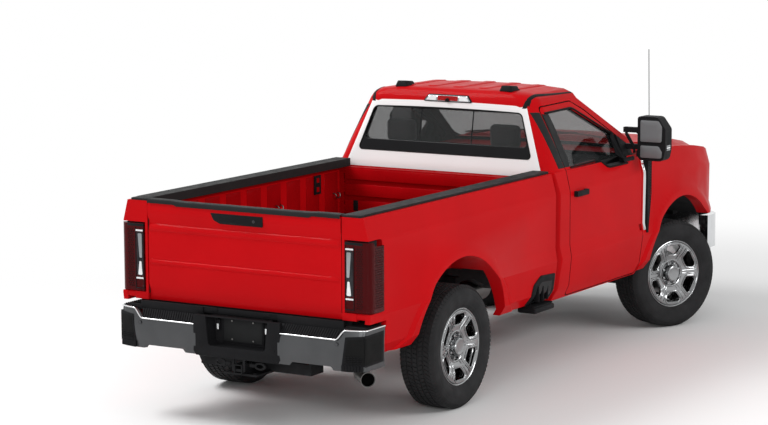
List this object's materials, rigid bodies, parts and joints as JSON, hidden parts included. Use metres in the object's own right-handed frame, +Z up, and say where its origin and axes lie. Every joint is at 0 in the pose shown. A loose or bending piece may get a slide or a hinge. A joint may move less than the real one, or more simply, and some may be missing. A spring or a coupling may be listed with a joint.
{
  "type": "pickup truck",
  "caption": "Regular-cab long-box heavy-duty pickup truck with opening doors, hood and tailgate, steering front wheels and a towing receiver.",
  "frame": {"origin": "on the ground, midway along and across the truck", "axes": "+X forward, +Y to the truck's left, +Z up"},
  "size_m": [5.888, 2.476, 2.2681],
  "materials": {
    "red_paint": "gloss",
    "grey_paint": "satin",
    "black_plastic": "textured",
    "glass": "clear",
    "dark_steel": "satin",
    "cast_iron": "rough",
    "steel": "satin",
    "chrome": "polished",
    "alloy": "matte",
    "lamp_plastic": "gloss",
    "cloth": "woven",
    "tyre": "matte"
  },
  "bodies": {
    "chassis": {"antenna": "black_plastic", "box_floor": "red_paint", "box_front_wall": "red_paint", "box_sides": "red_paint", "box_steps": "black_plastic", "bumper_steps": "black_plastic", "cab_glass": "glass", "cab_shell": "red_paint", "cowl": "black_plastic", "dashboard": "black_plastic", "driveline": "dark_steel", "engine": "cast_iron", "exhaust": "steel", "fender_vents": "black_plastic", "fenders": "red_paint", "front_axle": "dark_steel", "front_bumper": "chrome", "front_suspension": "dark_steel", "fuel_tank": "black_plastic", "frame": "dark_steel", "grille": "chrome", "headlamps": "glass", "hitch_receiver": "dark_steel", "radiator": "alloy", "rail_caps": "black_plastic", "rear_axle": "dark_steel", "rear_bumper": "grey_paint", "rear_suspension": "dark_steel", "roof_lamps": "lamp_plastic", "seats": "cloth", "spare_wheel": "steel", "tail_lamps": "lamp_plastic", "wheelhouse_liners": "black_plastic"},
    "door_left": {"door_left": "red_paint", "door_glass_left": "glass", "door_trim_left": "black_plastic", "mirror_left": "black_plastic"},
    "door_right": {"door_right": "red_paint", "door_glass_right": "glass", "door_trim_right": "black_plastic", "mirror_right": "black_plastic"},
    "hood": {"hood": "red_paint"},
    "tailgate": {"tailgate": "red_paint", "tailgate_trim": "black_plastic"},
    "knuckle_left": {"knuckle_left": "dark_steel"},
    "knuckle_right": {"knuckle_right": "dark_steel"},
    "tie_rod": {"tie_rod": "dark_steel"},
    "wheel_front_left": {"wheel_front_left": "chrome", "tyre_front_left": "tyre"},
    "wheel_front_right": {"wheel_front_right": "chrome", "tyre_front_right": "tyre"},
    "wheel_rear_left": {"wheel_rear_left": "chrome", "tyre_rear_left": "tyre"},
    "wheel_rear_right": {"wheel_rear_right": "chrome", "tyre_rear_right": "tyre"}
  },
  "joints": [
    {"name": "door_left_hinge", "type": "hinge", "parent": "chassis", "child": "door_left", "pos_m": [1.19, 0.982, 1.1], "axis": [0, 0, -1], "range_deg": [0, 65]},
    {"name": "door_right_hinge", "type": "hinge", "parent": "chassis", "child": "door_right", "pos_m": [1.19, -0.982, 1.1], "axis": [0, 0, 1], "range_deg": [0, 65]},
    {"name": "hood_hinge", "type": "hinge", "parent": "chassis", "child": "hood", "pos_m": [1.622, 0, 1.494], "axis": [0, -1, 0], "range_deg": [0, 50]},
    {"name": "tailgate_hinge", "type": "hinge", "parent": "chassis", "child": "tailgate", "pos_m": [-2.818, 0, 0.862], "axis": [0, -1, 0], "range_deg": [0, 90]},
    {"name": "steer_left", "type": "hinge", "parent": "chassis", "child": "knuckle_left", "pos_m": [1.971, 0.765, 0.4325], "axis": [0, 0, 1], "range_deg": [-9, 57]},
    {"name": "steer_right", "type": "hinge", "parent": "chassis", "child": "knuckle_right", "pos_m": [1.971, -0.765, 0.4325], "axis": [0, 0, 1], "range_deg": [-9, 57]},
    {"name": "tie_rod_ball", "type": "hinge", "parent": "knuckle_left", "child": "tie_rod", "pos_m": [2.08062, 0.71619, 0.36], "axis": [0, 0, 1], "range_deg": [-57, 9]},
    {"name": "spin_front_left", "type": "hinge", "parent": "knuckle_left", "child": "wheel_front_left", "pos_m": [2.01269, 0.85864, 0.4325], "axis": [0.4067, 0.9135, 0], "continuous": true},
    {"name": "spin_front_right", "type": "hinge", "parent": "knuckle_right", "child": "wheel_front_right", "pos_m": [1.92931, -0.85864, 0.4325], "axis": [0.4067, 0.9135, 0], "continuous": true},
    {"name": "spin_rear_left", "type": "hinge", "parent": "chassis", "child": "wheel_rear_left", "pos_m": [-1.626, 0.8535, 0.4325], "axis": [0, 1, 0], "continuous": true},
    {"name": "spin_rear_right", "type": "hinge", "parent": "chassis", "child": "wheel_rear_right", "pos_m": [-1.626, -0.8535, 0.4325], "axis": [0, 1, 0], "continuous": true}
  ],
  "couplings": [
    {"joint": "steer_right", "follows": "steer_left", "ratio": 1},
    {"joint": "tie_rod_ball", "follows": "steer_left", "ratio": -1}
  ]
}
